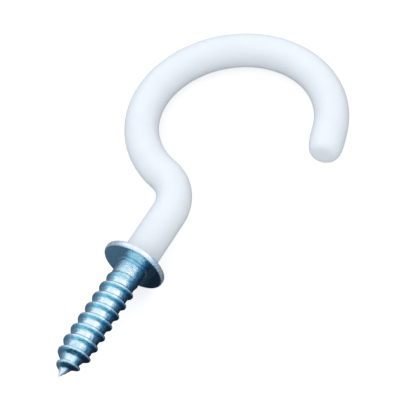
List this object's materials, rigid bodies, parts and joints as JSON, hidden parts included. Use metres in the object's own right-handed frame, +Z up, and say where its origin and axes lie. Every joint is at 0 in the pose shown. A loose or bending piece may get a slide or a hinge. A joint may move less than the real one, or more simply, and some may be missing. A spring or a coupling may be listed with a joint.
{
  "type": "coated screw hook",
  "caption": "Round-wire screw hook with wood thread, collar and a crooked, nearly closed hook in a soft white vinyl coat.",
  "frame": {"origin": "centre of the seat, the flat face under the collar, on the screw's axis", "axes": "+Z up with the hook lying at rest on its collar's rim and the far side of its bend; +Y runs from the point to the hook, 2.7 degrees above the screw's axis, which dips towards the hook; +X towards the hook's free end"},
  "size_m": [0.0281, 0.0547, 0.0078],
  "materials": {
    "zinc_steel": "bright zinc plate with a faint blue tint, drawn and rolled, smooth",
    "white_vinyl": "satin dipped soft vinyl, faintly uneven"
  },
  "bodies": {
    "root": {"steel_hook": "zinc_steel", "vinyl_coat": "white_vinyl"}
  },
  "joints": []
}
